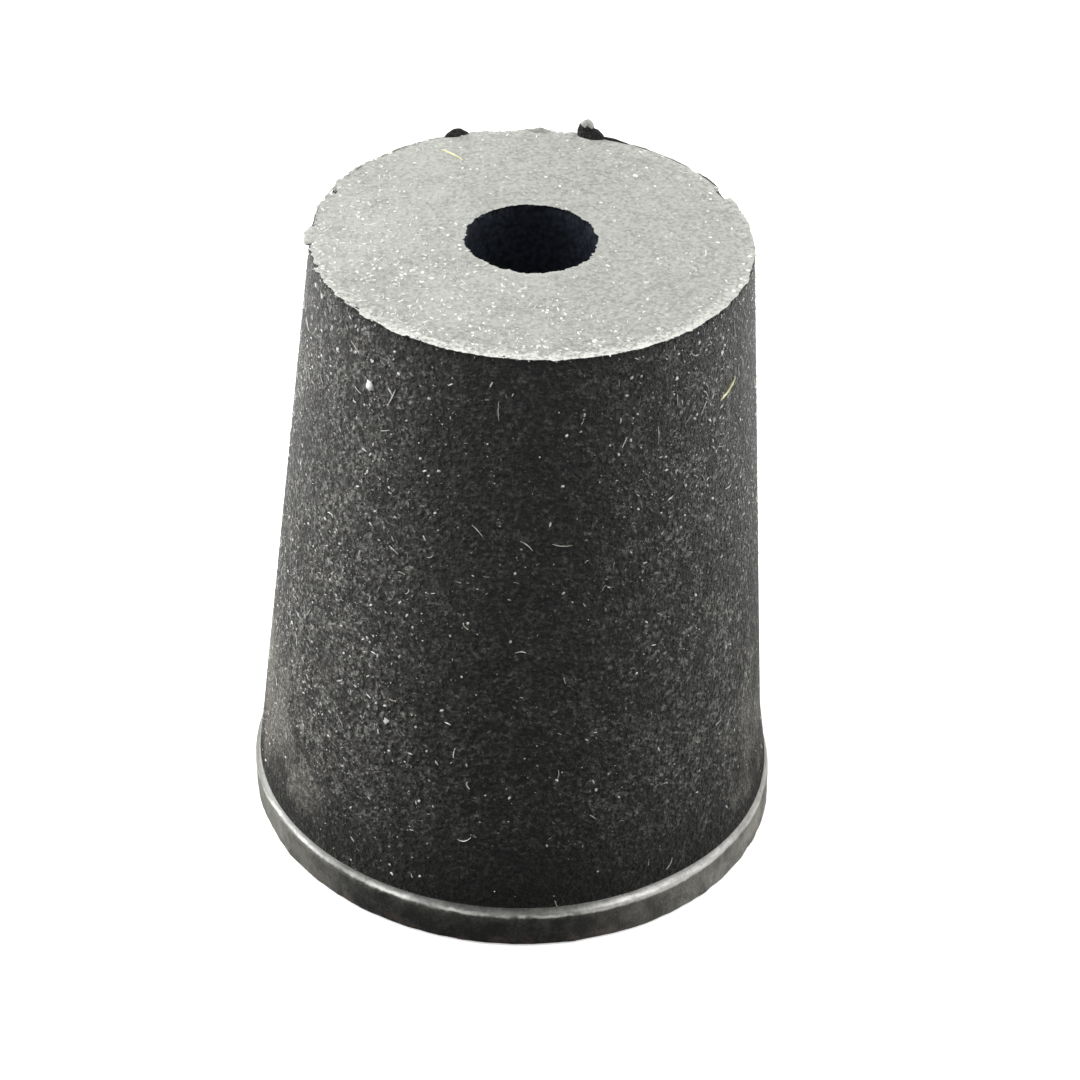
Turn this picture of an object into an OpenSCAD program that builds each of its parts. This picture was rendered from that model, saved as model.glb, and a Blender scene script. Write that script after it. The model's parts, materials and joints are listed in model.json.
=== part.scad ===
/* [Body] */
// Height of the stopper, from the large end to the small end
stopper_h = 25; // [18:0.5:40]
// Diameter of the small end, where it was ground flat
small_end_d = 16.1; // [12:0.1:19.5]
// Diameter of the tapered wall where it meets the lip
wall_foot_d = 19.9; // [16.5:0.1:26]

/* [Lip] */
// Height of the lip, up to the crease where the wall begins
lip_h = 1.65; // [1:0.05:4]
// How far the lip stands out from the foot of the wall
lip_proud = 0.3; // [0.1:0.05:1.5]
// Height of the sloping shoulder at the top of the lip
shoulder_h = 0.25; // [0.1:0.05:0.6]
// Radius of the rounded edge of the large end
foot_round = 0.2; // [0.05:0.05:0.35]

/* [Bore] */
// Diameter of the straight hole from end to end
bore_d = 4.8; // [3:0.1:8]

/* [Torn flash on the small rim] */
// Place of the low torn ridge, in degrees round the rim
ridge_angle = 112; // [100:1:150]
// Length of the low torn ridge
ridge_l = 0.95; // [0.5:0.05:2]
// Height of the low torn ridge
ridge_h = 0.28; // [0.15:0.01:0.4]
// Thickness of the low torn ridge and of the faint bump, across the rim
ridge_t = 0.4; // [0.2:0.02:0.6]
// How far the low torn ridge overhangs the rim
ridge_over = 0.15; // [0.1:0.01:0.3]
// Place of the faint bump, in degrees round the rim
bump_angle = 89; // [84:1:94]
// Length of the faint bump
bump_l = 0.8; // [0.4:0.05:1]
// Height of the faint bump
bump_h = 0.12; // [0.08:0.01:0.3]
// How far the faint bump stays inside the rim
bump_in = 0.05; // [0.03:0.01:0.3]
// Place of the standing flap, in degrees round the rim
flap_angle = 76; // [60:1:80]
// Length of the standing flap
flap_l = 0.66; // [0.3:0.02:1]
// Radius of the standing flap at its root
flap_root_r = 0.36; // [0.25:0.01:0.5]
// Radius of the standing flap at its tip
flap_tip_r = 0.18; // [0.1:0.01:0.22]
// How far the standing flap leans over along the rim, in degrees
flap_lean = 24; // [0:1:40]
// Length of the thin tail that runs along the rim from the flap
tail_l = 1.7; // [0.8:0.1:3]
// Height of that tail
tail_h = 0.13; // [0.08:0.01:0.2]
// Place of the flat tab, in degrees round the rim
tab_angle = 182; // [170:1:210]
// Length of the flat tab along the rim
tab_l = 1.3; // [0.6:0.05:2]
// How far the flat tab reaches out past the rim
tab_reach = 0.24; // [0.1:0.01:0.4]
// Thickness of the flat tab
tab_t = 0.14; // [0.08:0.01:0.3]

/* [Nicks in the small rim] */
// Place of the larger nick, in degrees round the rim
chip_angle = 28; // [15:1:50]
// Radius of the larger nick
chip_r = 0.2; // [0.08:0.01:0.4]
// Place of the smaller nick, in degrees round the rim
nick_angle = 159; // [151:1:165]
// Radius of the smaller nick
nick_r = 0.13; // [0.06:0.01:0.3]

/* [Hidden] */
$fn = 96;
rubber = [0.2, 0.2, 0.19];
top_r = small_end_d / 2;
wall_foot_r = wall_foot_d / 2;
lip_r = wall_foot_r + lip_proud;
// Length of cutting tools past the faces that they cut
clear = 1;

// Radius of the arc that rises by height over a chord of this length
function arc_radius(length, height) = (length * length / 4 + height * height) / (2 * height);

// Half section of the solid body: lip with a rounded foot, sloping shoulder, tapered wall, flat small end
module section() {
    difference() {
        polygon([
            [0, 0],
            [lip_r, 0],
            [lip_r, lip_h - shoulder_h],
            [wall_foot_r, lip_h],
            [top_r, stopper_h],
            [0, stopper_h]
        ]);
        foot_corner();
    }
}

// What the rounded edge takes away from the square corner of the large end
module foot_corner() {
    difference() {
        translate([lip_r - foot_round, -clear])
            square([foot_round + clear, foot_round + clear]);
        translate([lip_r - foot_round, foot_round])
            circle(r = foot_round);
    }
}

// Puts its children on the small end's rim: X points outwards, Y along the rim, Z up
module on_rim(angle) {
    rotate([0, 0, angle])
        translate([top_r, 0, stopper_h])
            children();
}

// Low scrap of torn flash along the rim: a slice with a round top of this length and height
module ridge(angle, length, height, over) {
    slice_r = arc_radius(length, height);
    on_rim(angle)
        translate([over - ridge_t, 0, height - slice_r])
            rotate([0, 90, 0])
                cylinder(r = slice_r, h = ridge_t);
}

// Scrap of flash that stands up and leans over, with a thin tail that follows the rim
module flap() {
    on_rim(flap_angle)
        rotate([flap_lean, 0, 0]) {
            translate([0, 0, -flap_root_r])
                cylinder(r1 = flap_root_r, r2 = flap_tip_r, h = flap_root_r + flap_l - flap_tip_r);
            translate([0, 0, flap_l - flap_tip_r])
                sphere(r = flap_tip_r);
        }
    on_rim(flap_angle)
        rotate([90, 0, -asin(tail_l / 2 / top_r)])
            cylinder(r1 = tail_h, r2 = tail_h / 4, h = tail_l);
}

// Thin scrap level with the ground face that reaches out past the rim as a round-ended tab
module tab() {
    tab_r = arc_radius(tab_l, tab_reach);
    on_rim(tab_angle)
        translate([tab_reach - tab_r, 0, -tab_t])
            cylinder(r = tab_r, h = tab_t);
}

// Scoop out of the rim's edge
module nick(angle, radius) {
    on_rim(angle)
        sphere(r = radius);
}

module stopper() {
    color(rubber)
        difference() {
            union() {
                rotate_extrude()
                    section();
                ridge(ridge_angle, ridge_l, ridge_h, ridge_over);
                ridge(bump_angle, bump_l, bump_h, -bump_in);
                flap();
                tab();
            }
            translate([0, 0, -clear])
                cylinder(d = bore_d, h = stopper_h + 2 * clear);
            nick(chip_angle, chip_r);
            nick(nick_angle, nick_r);
        }
}

stopper();
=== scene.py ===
import json
import math

import bmesh
import bpy
from mathutils import Matrix, Vector, noise


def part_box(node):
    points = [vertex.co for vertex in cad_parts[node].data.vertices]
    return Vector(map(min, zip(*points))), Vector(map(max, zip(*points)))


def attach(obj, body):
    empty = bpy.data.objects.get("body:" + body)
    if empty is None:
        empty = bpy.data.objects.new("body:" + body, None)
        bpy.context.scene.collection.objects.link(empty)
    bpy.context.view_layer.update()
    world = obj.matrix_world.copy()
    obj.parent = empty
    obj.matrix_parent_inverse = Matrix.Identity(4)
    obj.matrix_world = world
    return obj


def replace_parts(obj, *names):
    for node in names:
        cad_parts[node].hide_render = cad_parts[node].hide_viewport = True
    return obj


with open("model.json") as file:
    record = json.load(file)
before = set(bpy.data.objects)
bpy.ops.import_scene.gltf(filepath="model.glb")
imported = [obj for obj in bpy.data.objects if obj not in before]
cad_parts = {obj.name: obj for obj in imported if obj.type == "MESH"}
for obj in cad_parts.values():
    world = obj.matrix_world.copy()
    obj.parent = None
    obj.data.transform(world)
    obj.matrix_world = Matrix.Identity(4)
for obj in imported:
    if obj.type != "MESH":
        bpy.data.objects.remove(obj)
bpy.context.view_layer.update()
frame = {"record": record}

bl_info = {
    "name": "Rubber stopper",
    "version": (1, 0, 0),
    "blender": (4, 5, 0),
    "location": "View3D > Sidebar > Stopper",
    "description": "Builds a bored rubber stopper with its torn rim, dust and lint, and a pale studio",
    "category": "Add Mesh",
}

MM = 0.001
PER_CM2 = 1.0e4
UP = Vector((0.0, 0.0, 1.0))
WHITE = (1.0, 1.0, 1.0, 1.0)
NODE = "stopper"
BORE = next(m for m in frame["record"]["mounts"] if m["name"] == "bore")["dims"]
CAD_LOW, CAD_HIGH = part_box(NODE)


def length_prop(name, description, default_mm):
    """A length property, with its default in millimetres."""
    return bpy.props.FloatProperty(name=name, description=description, default=default_mm * MM, unit="LENGTH")


def angle_prop(name, description, default_deg):
    """An angle property, with its default in degrees."""
    default = math.radians(default_deg)
    return bpy.props.FloatProperty(name=name, description=description, default=default, subtype="ANGLE")


def count_prop(name, description, default, **limits):
    """A whole number property."""
    return bpy.props.IntProperty(name=name, description=description, default=default, **limits)


def colour_prop(name, description, *rgb):
    """A colour property, scene linear."""
    return bpy.props.FloatVectorProperty(
        name=name, description=description, default=(*rgb, 1.0), subtype="COLOR", size=4)


class StopperSizes(bpy.types.PropertyGroup):
    """Sizes of the moulded body"""

    height: length_prop("Height", "From the large end to the ground small end", BORE["length_mm"])
    bore_radius: length_prop("Hole radius", "Radius of the straight hole", BORE["r_mm"])
    lip_radius: length_prop("Lip radius", "Radius over the lip", (CAD_HIGH.x - CAD_LOW.x) / 2 / MM)
    lip_height: length_prop("Lip height", "Up to the crease where the wall begins", 1.65)
    shoulder_height: length_prop("Shoulder height", "Height of the slope at the top of the lip", 0.25)
    wall_foot_radius: length_prop("Wall foot radius", "Radius of the wall at the crease above the lip", 9.95)
    small_end_radius: length_prop("Small end radius", "Radius of the ground small end", 8.05)
    foot_round: length_prop("Foot round", "Radius of the rounded edge of the large end", 0.2)
    shoulder_round: length_prop("Shoulder round", "Reach of the softened outer edge of the shoulder", 0.13)
    segments: count_prop("Segments", "Faces round the body", 660, min=32, max=900)


class StopperWear(bpy.types.PropertyGroup):
    """How uneven, torn and dusty the rubber is"""

    rim_raggedness: length_prop("Rim raggedness", "How far the ground rim strays in and out", 0.52)
    mouth_raggedness: length_prop("Mouth raggedness", "How far the edge of the hole strays in and out", 0.50)
    foot_unevenness: length_prop("Foot unevenness", "How far the lip strays in and out", 0.17)
    left_flare: length_prop("Left flare", "How far the wall bells out above the lip on the left", 0.10)
    right_flare: length_prop("Right flare", "How far the wall swells above the lip on the right", 0.15)
    chip_angle: angle_prop("Chip angle", "Place of the larger notch in the rim", 28.3)
    chip_depth: length_prop("Chip depth", "Depth of the larger notch", 0.2)
    nick_angle: angle_prop("Nick angle", "Place of the smaller notch in the rim", 159.2)
    nick_depth: length_prop("Nick depth", "Depth of the smaller notch", 0.13)
    speck_count: count_prop("Specks", "Dust specks for each square centimetre at the dustiest place", 1050)
    grain_count: count_prop("Grains", "Fine grains for each square centimetre at the dustiest place", 2100)
    lint_count: count_prop("Lint", "Lint fibres for each square centimetre at the dustiest place", 110)
    seed: count_prop("Seed", "Seed of the torn flash, the dust and the lint", 7)


class StopperColours(bpy.types.PropertyGroup):
    """Colours of the finishes"""

    wall: colour_prop("Wall", "Moulded wall", 0.030, 0.0298, 0.0276)
    ground: colour_prop("Ground end", "Ground small end", 0.335, 0.339, 0.316)
    lip: colour_prop("Lip", "Smooth lip", 0.042, 0.0425, 0.039)
    bore: colour_prop("Hole", "Wall of the hole", 0.012, 0.015, 0.022)
    dust: colour_prop("Dust", "Dust and specks on the wall", 0.88, 0.86, 0.80)
    chalk: colour_prop("Chalk", "White specks on the ground end", 0.80, 0.80, 0.76)
    grit: colour_prop("Grains", "Fine grains of dust", 0.50, 0.485, 0.45)
    lint: colour_prop("Lint", "Pale lint", 0.90, 0.85, 0.72)
    straw: colour_prop("Straw lint", "Yellow lint", 0.95, 0.87, 0.50)
    scuff: colour_prop("Scuffed flash", "Flash dulled by the grinding", 0.32, 0.32, 0.30)
    rub: colour_prop("Brown rub", "Rubbed foot of the lip", 0.10, 0.066, 0.055)


class Nodes:
    """Short calls that add nodes to one tree; most give back the new node's output."""

    def __init__(self, tree):
        self.tree = tree

    def feed(self, socket, value):
        """Links a socket to value, or sets it where value is not a socket."""
        if isinstance(value, bpy.types.NodeSocket):
            self.tree.links.new(value, socket)
        else:
            socket.default_value = value

    def add(self, kind, inputs=None, **settings):
        """A node, with its settings and then its inputs by name or number, as its outputs."""
        made = self.tree.nodes.new(kind)
        for name, value in settings.items():
            setattr(made, name, value)
        for key, value in (inputs or {}).items():
            self.feed(made.inputs[key], value)
        return made.outputs

    def maths(self, operation, total, *others):
        """One Math node, or a chain of them that takes in the values one after another."""
        for other in others or (0.0,):
            total = self.add("ShaderNodeMath", {0: total, 1: other}, operation=operation)[0]
        return total

    def plus(self, *values):
        return self.maths("ADD", *values)

    def minus(self, a, b):
        return self.maths("SUBTRACT", a, b)

    def times(self, *values):
        return self.maths("MULTIPLY", *values)

    def over(self, a, b):
        return self.maths("DIVIDE", a, b)

    def most(self, *values):
        return self.maths("MAXIMUM", *values)

    def reach(self, a, b):
        """Length of the two sides together, as the root of their squares."""
        return self.maths("SQRT", self.plus(self.times(a, a), self.times(b, b)))

    def ramp(self, value, low, high, out_low=0.0, out_high=1.0, kind="SMOOTHSTEP"):
        """Maps value from low..high to out_low..out_high, held at both ends."""
        limits = {0: value, 1: low, 2: high, 3: out_low, 4: out_high}
        return self.add("ShaderNodeMapRange", limits, interpolation_type=kind)[0]

    def noise(self, vector, scale, detail=2.0, roughness=0.5):
        """Noise from 0 to 1 with features of about 1 / scale metres."""
        return self.add("ShaderNodeTexNoise", {
            "Vector": vector, "Scale": scale, "Detail": detail, "Roughness": roughness})[0]

    def swing(self, value):
        """Noise moved down by a half, so that it swings about 0."""
        return self.minus(value, 0.5)

    def mix(self, factor, a, b):
        """Colour from a to b."""
        return self.add("ShaderNodeMix", {0: factor, 6: a, 7: b}, data_type="RGBA")[2]

    def vector(self, operation, a, b):
        """One Vector Math node for two vectors."""
        return self.add("ShaderNodeVectorMath", {0: a, 1: b}, operation=operation)[0]

    def axes(self, vector):
        """The three parts of a vector."""
        return self.add("ShaderNodeSeparateXYZ", {0: vector})

    def place(self):
        """Object coordinates of the shaded point."""
        return self.add("ShaderNodeTexCoord")["Object"]

    def group(self, tree, inputs):
        """A shader group at work, as its outputs."""
        return self.add("ShaderNodeGroup", inputs, node_tree=tree)

    def front_left(self, x, y, radius, low=0.0, high=1.0):
        """Grows from low to high towards the front left of a disc."""
        lean = self.minus(self.times(x, -0.7), self.times(y, 0.7))
        return self.ramp(lean, -0.1 * radius, 0.75 * radius, low, high)


class Finish(Nodes):
    """The nodes of a new material, with its Principled shader."""

    def __init__(self, name, roughness, specular):
        self.material = bpy.data.materials.new(name)
        self.material.use_nodes = True
        super().__init__(self.material.node_tree)
        self.shader = self.tree.nodes["Principled BSDF"]
        self.shader.inputs["Roughness"].default_value = roughness
        self.shader.inputs["Specular IOR Level"].default_value = specular

    def sheen(self, weight, roughness, tint):
        """The soft edge light that fine dust gives."""
        self.shader.inputs["Sheen Weight"].default_value = weight
        self.shader.inputs["Sheen Roughness"].default_value = roughness
        self.shader.inputs["Sheen Tint"].default_value = tint

    def shows(self, name, value):
        """Feeds one of the shader's inputs."""
        self.tree.links.new(value, self.shader.inputs[name])

    def bump(self, height, distance):
        """Feeds the shader's normal from a height."""
        made = self.add("ShaderNodeBump", {"Strength": 1.0, "Distance": distance, "Height": height})
        self.shows("Normal", made["Normal"])


SOCKET_KINDS = {float: "NodeSocketFloat", int: "NodeSocketInt", type(None): "NodeSocketGeometry"}


def new_group(name, kind, inputs, outputs):
    """A node group with sockets that suit the defaults given, as (nodes, given values, results)."""
    tree = bpy.data.node_groups.new(name, kind)
    for in_out, sockets in (("INPUT", inputs), ("OUTPUT", outputs)):
        for socket_name, default in sockets.items():
            kind_name = SOCKET_KINDS[type(default)]
            made = tree.interface.new_socket(socket_name, in_out=in_out, socket_type=kind_name)
            if default is not None:
                made.default_value = default
    return Nodes(tree), tree.nodes.new("NodeGroupInput").outputs, tree.nodes.new("NodeGroupOutput").inputs


def grain_group():
    """Shader group: pebbly grain of moulded or ground rubber, as a height and a mottle."""
    name = "Rubber grain"
    if name in bpy.data.node_groups:
        return bpy.data.node_groups[name]
    n, given, out = new_group(name, "ShaderNodeTree", {"Grain size": 0.14 * MM},
                              {"Height": 0.0, "Mottle": 0.0})
    place = n.place()
    scale = n.over(1.0, given["Grain size"])
    pebble = n.add("ShaderNodeTexVoronoi", {"Vector": place, "Scale": scale, "Smoothness": 0.5},
                   feature="SMOOTH_F1")
    fine = n.noise(place, n.times(scale, 0.9), 4.0, 0.7)
    broad = n.noise(place, n.times(scale, 0.2))
    height = n.minus(fine, n.times(pebble["Distance"], 0.5))
    n.feed(out["Height"], height)
    n.feed(out["Mottle"], n.ramp(n.plus(height, n.times(broad, 0.5)), 0.25, 0.75))
    return n.tree


def speck_group():
    """Shader group: grains or specks too small to be pieces of their own, as a mask and a tone for each."""
    name = "Fine specks"
    if name in bpy.data.node_groups:
        return bpy.data.node_groups[name]
    n, given, out = new_group(name, "ShaderNodeTree", {"Spacing": 0.3 * MM, "Share": 0.3, "Reach": 0.2},
                              {"Mask": 0.0, "Tone": 0.0})
    place = n.place()
    scale = n.over(1.0, given["Spacing"])
    wobble = n.add("ShaderNodeTexNoise", {"Vector": place, "Scale": n.times(scale, 1.3)})
    stray = n.vector("SUBTRACT", wobble["Color"], (0.5, 0.5, 0.5))
    shift = n.add("ShaderNodeVectorMath", {0: stray, "Scale": n.times(given["Spacing"], 1.6)},
                  operation="SCALE")
    cells = n.add("ShaderNodeTexVoronoi", {"Vector": n.vector("ADD", place, shift[0]), "Scale": scale})
    chance, girth, tone = n.add("ShaderNodeSeparateColor", {0: cells["Color"]})
    kept = n.maths("LESS_THAN", chance, given["Share"])
    reach = n.times(given["Reach"], n.plus(girth, 0.35))
    near = n.ramp(cells["Distance"], n.times(reach, 0.5), reach, 1.0, 0.0)
    n.feed(out["Mask"], n.times(kept, near))
    n.feed(out["Tone"], tone)
    return n.tree


def shaded(colour, factor):
    """A colour made darker or paler by a factor."""
    return [min(1.0, c * factor) for c in colour[:3]] + [1.0]


def wall_material(sizes, colours):
    """Moulded rubber: near black and crumbly, with painted side light that pales the grain most where the
    wall turns away, dust specks, painted shade at the crease and under the rim, and a low pale smear on both
    edges that is partly dust and partly painted edge light.
    """
    n = Finish("moulded_wall", 0.42, 0.24)
    n.sheen(0.08, 0.25, (1.0, 0.97, 0.90, 1.0))
    crease, top = sizes.lip_height, sizes.height
    place = n.place()
    x, y, height = n.axes(place)
    across = n.over(x, n.reach(x, y))

    grain = n.group(grain_group(), {"Grain size": 0.15 * MM})
    grits = n.group(speck_group(), {"Spacing": 0.135 * MM, "Share": 0.9, "Reach": 0.9})
    grit = n.times(grits["Mask"], n.maths("POWER", grits["Tone"], 1.2))
    fine = n.ramp(n.noise(place, 4600.0, 3.0, 0.65), 0.38, 0.64)
    crumbs = n.times(fine, n.plus(n.times(grit, 1.25), 0.20))
    # Painted side light: the grain is paler towards the left and right edges, where the side lamps fall; this
    # also sets how strongly the dust specks show.
    side_light_and_dust = n.most(n.ramp(across, -0.18, -0.78, 0.32, 1.25), n.ramp(across, 0.2, 0.8, 0.34, 0.9))
    drift = n.ramp(n.noise(place, 1100.0, 3.0, 0.6), 0.3, 0.7, 0.3, 1.35)
    # Painted shade: the grain and its dust specks darken towards the crease above the lip.
    foot = n.ramp(height, crease, crease + 5.0 * MM, 0.2, 1.0)
    # Painted shade: a dark band just under the small rim; the wall is also a little darker towards the top.
    under_rim_shade = n.ramp(height, top - 0.5 * MM, top - 0.05 * MM, 1.0, 0.2)
    shade = n.times(under_rim_shade, n.ramp(height, 0.4 * top, 0.9 * top, 1.08, 0.9))
    tone = n.times(crumbs, n.times(drift, side_light_and_dust), n.times(foot, shade))
    rubber = n.mix(tone, shaded(colours.wall, 0.3), shaded(colours.wall, 14.5))

    specks = n.group(speck_group(), {"Spacing": 0.2 * MM, "Share": 0.2, "Reach": 0.24})
    dusty = n.times(specks["Mask"], n.times(side_light_and_dust, 0.32), foot)
    dusted = n.mix(dusty, rubber, colours.dust[:])

    # Pale smear low on the left and right edges: partly a dust smear, partly painted edge light where the lit
    # sides turn away.
    smear_and_edge_light_tint = (0.55, 0.525, 0.46, 1.0)
    smear_and_edge_light_low = n.ramp(height, crease, crease + 1.4 * MM, 0.3, 1.0)
    smear_and_edge_light_high = n.ramp(height, crease + 4.0 * MM, crease + 12.0 * MM, 1.0, 0.0)
    smear_and_edge_light_side = n.most(n.ramp(across, -0.45, -1.0), n.ramp(across, 0.68, 1.0, 0.0, 0.85))
    smear_and_edge_light = n.times(smear_and_edge_light_low, smear_and_edge_light_high, smear_and_edge_light_side)
    patch = n.noise(n.vector("MULTIPLY", place, (1.0, 1.0, 0.4)), 1300.0, 5.0, 0.72)
    blotch = n.times(n.swing(n.noise(place, 350.0)), 1.2)
    ragged = n.plus(smear_and_edge_light, n.plus(n.times(n.swing(patch), 1.6), blotch))
    smeared_and_edge_lit = n.times(n.ramp(ragged, 0.42, 1.30, 0.0, 0.66), n.ramp(crumbs, 0.05, 0.7, 0.5, 1.2))
    n.shows("Base Color", n.mix(smeared_and_edge_lit, dusted, smear_and_edge_light_tint))
    n.shows("Roughness", n.ramp(height, crease, crease + 3.0 * MM, 0.75, 0.42))
    n.bump(n.plus(grain["Height"], crumbs), 0.17 * MM)
    return n.material


def ground_material(sizes, colours):
    """Ground small end: pale grey and chalky, whiter at the rim and at the edge of the hole, most towards the
    front, partly chalky wear and partly painted highlight; paler on the left from dust and painted light;
    with specks and faint curved scratches.
    """
    n = Finish("ground_end", 0.8, 0.3)
    rim, mouth = sizes.small_end_radius, sizes.bore_radius
    place = n.place()
    x, y, _ = n.axes(place)
    radius = n.reach(x, y)

    cloud = n.noise(place, 420.0, 6.0, 0.7)
    fine = n.noise(place, 7500.0, 2.0, 0.6)
    mottle = n.plus(n.times(n.ramp(fine, 0.25, 0.75), 0.75), n.times(cloud, 0.55))
    turn = n.times(n.maths("ARCTAN2", y, x), 2.6)
    spun = n.add("ShaderNodeCombineXYZ", {0: n.times(radius, 3800.0), 1: turn})
    scratches = n.noise(spun[0], 1.0, 3.0, 0.6)
    tone = n.plus(n.times(mottle, 0.6), n.times(scratches, 0.4))
    face = n.mix(n.ramp(tone, 0.15, 0.85), shaded(colours.ground, 0.69), shaded(colours.ground, 1.30))

    chalk_and_highlight_tint = (0.88, 0.88, 0.82, 1.0)
    ragged = n.plus(radius, n.times(n.swing(fine), 1.8 * MM))
    # Painted highlight: the pale rim and the pale edge of the hole grow stronger towards the front, partly
    # chalky wear and partly a painted highlight on the edges.
    front = n.ramp(y, 0.0, -0.95 * rim, 0.15, 0.6)
    edge = n.ramp(ragged, rim - 0.65 * MM, rim + 0.15 * MM, 0.0, front)
    fringe = n.ramp(ragged, mouth - 0.1 * MM, mouth + 0.3 * MM, front, 0.0)
    broken = n.times(fringe, n.ramp(fine, 0.4, 0.6, 0.3, 1.4))
    # Paler on the left of the end: partly dust, partly painted light from the left.
    dust_and_left_light = n.times(n.ramp(x, 0.3 * rim, -rim, 0.0, 0.14), n.ramp(cloud, 0.35, 0.65))
    specks = n.group(speck_group(), {"Spacing": 0.2 * MM, "Share": 0.35, "Reach": 0.34})
    speckled = n.times(specks["Mask"], n.front_left(x, y, rim, 0.32, 0.95))
    n.shows("Base Color", n.mix(n.most(edge, broken, dust_and_left_light, speckled), face, chalk_and_highlight_tint))
    n.bump(n.group(grain_group(), {"Grain size": 0.2 * MM})["Height"], 0.05 * MM)
    return n.material


def lip_material(sizes, colours):
    """Lip and large end: satin charcoal in blotches, pale along its crest from rubbing and painted highlight,
    strongest at the sides and on the right, with a painted glint on its outer edge, painted light falling off
    below the crest, painted shade at the crease, paler at the sides from dust and painted side light, and
    brown at its foot.
    """
    n = Finish("satin_lip", 0.45, 0.5)
    n.sheen(0.3, 0.3, (0.97, 1.0, 0.93, 1.0))
    n.shader.inputs["Coat Roughness"].default_value = 0.32
    n.shader.inputs["Coat IOR"].default_value = 2.5
    crease_h = sizes.lip_height
    slope_foot = crease_h - sizes.shoulder_height
    place = n.place()
    x, y, height = n.axes(place)
    across = n.over(x, sizes.lip_radius)
    outer = n.ramp(n.reach(x, y), 0.93 * sizes.lip_radius, 0.97 * sizes.lip_radius)
    grain = n.group(grain_group(), {"Grain size": 0.13 * MM})
    cloud = n.noise(place, 1100.0, 6.0, 0.7)

    stray = n.times(n.swing(cloud), 0.25 * MM)
    drop = n.times(n.ramp(across, -0.7, 0.5, 0.11 * MM, 0.0), n.ramp(across, -0.99, -0.86, -0.3, 1.0))
    level = n.minus(n.plus(height, stray), drop)
    crest = n.ramp(level, slope_foot - 0.10 * MM, slope_foot + 0.01 * MM)
    # Painted shade: the crest is kept dark right under the crease.
    crease = n.ramp(height, crease_h - 0.15 * MM, crease_h - 0.01 * MM, 1.0, 0.12)
    streaks = n.noise(n.vector("MULTIPLY", place, (1.0, 1.0, 7.0)), 1000.0, 4.0, 0.65)
    ticks = n.noise(n.vector("MULTIPLY", place, (1.0, 1.0, 0.3)), 3200.0, 3.0, 0.6)
    broken = n.times(n.ramp(streaks, 0.36, 0.62, 0.5, 1.0), n.ramp(ticks, 0.36, 0.6, 0.5, 1.0))
    # Painted highlight: the pale crest is partly rubbed wear and partly a painted highlight, stronger at the
    # sides than at the front and paler still on the right.
    side_highlight_gain = n.ramp(n.maths("ABSOLUTE", across), 0.1, 0.5, 0.55, 1.0)
    worn_and_highlight = n.times(n.times(crest, crease), n.times(broken, side_highlight_gain))
    right_crest_highlight = n.times(worn_and_highlight, n.ramp(across, 0.1, 0.55, 0.0, 0.8))
    # Painted light: the band just below the crest is a little paler, fading downwards, as light falls off
    # over the rounded bead.
    crest_light_falloff = n.ramp(level, slope_foot - 0.55 * MM, slope_foot, 0.0, 0.4)
    # Painted highlight: a pale glint line along the outer edge of the shoulder, broken up by noise.
    off_edge = n.maths("ABSOLUTE", n.minus(level, slope_foot))
    gleams = n.ramp(n.noise(place, 800.0, 3.0, 0.6), 0.40, 0.58, 0.1, 1.0)
    glint = n.times(n.ramp(off_edge, 0.01 * MM, 0.07 * MM, 0.9, 0.0), gleams)
    low = n.ramp(height, 0.1 * MM, 0.7 * MM, 1.0, 0.0)
    rub = n.times(low, outer, n.ramp(cloud, 0.45, 0.62))
    # Pale on the left and right of the lip: partly dust, partly painted side light.
    sides = n.most(n.ramp(across, -0.45, -0.97, 0.0, 0.75), n.ramp(across, 0.1, 0.85, 0.0, 0.9))
    dust = n.times(n.times(outer, sides), n.ramp(cloud, 0.30, 0.70, 0.3, 0.9))

    mottle = n.ramp(n.plus(cloud, n.times(grain["Mottle"], 0.3)), 0.5, 0.95)
    colour = n.mix(mottle, shaded(colours.lip, 0.35), shaded(colours.lip, 1.5))
    for factor, tint in (
        (rub, colours.rub[:]),
        (dust, (0.40, 0.385, 0.34, 1.0)),
        (n.times(crest_light_falloff, n.ramp(cloud, 0.4, 0.62)), (0.13, 0.128, 0.105, 1.0)),
        (worn_and_highlight, shaded(colours.lip, 5.2)),
        (right_crest_highlight, (0.66, 0.63, 0.60, 1.0)),
        (glint, (0.60, 0.60, 0.55, 1.0)),
    ):
        colour = n.mix(factor, colour, tint)
    n.shows("Base Color", colour)
    n.shows("Coat Weight", n.times(n.most(worn_and_highlight, glint), n.ramp(across, 0.75, 0.99, 1.0, 0.6)))
    n.shows("Roughness", n.ramp(cloud, 0.3, 0.7, 0.38, 0.58))
    n.bump(n.plus(n.times(grain["Height"], 0.35), n.times(cloud, 2.0)), 0.05 * MM)
    return n.material


def bore_material(sizes, colours):
    """Wall of the hole: near black, with a little grain."""
    n = Finish("hole_wall", 0.6, 0.25)
    grain = n.group(grain_group(), {"Grain size": 0.2 * MM})
    n.shows("Base Color", n.mix(grain["Mottle"], shaded(colours.bore, 0.6), shaded(colours.bore, 1.7)))
    n.bump(grain["Height"], 0.04 * MM)
    return n.material


BODY_FINISHES = {
    "moulded_wall": wall_material, "ground_end": ground_material,
    "satin_lip": lip_material, "hole_wall": bore_material,
}
# Colour, how far its tone spreads, and features for each metre
LOOSE_FINISHES = {
    "scuffed_flash": ("scuff", 0.5, 2500.0), "dust_specks": ("dust", 0.35, 2500.0),
    "white_specks": ("chalk", 0.15, 2500.0), "fine_grains": ("grit", 0.9, 9000.0),
    "pale_lint": ("lint", 0.4, 2500.0), "straw_lint": ("straw", 0.2, 2500.0),
}


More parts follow.
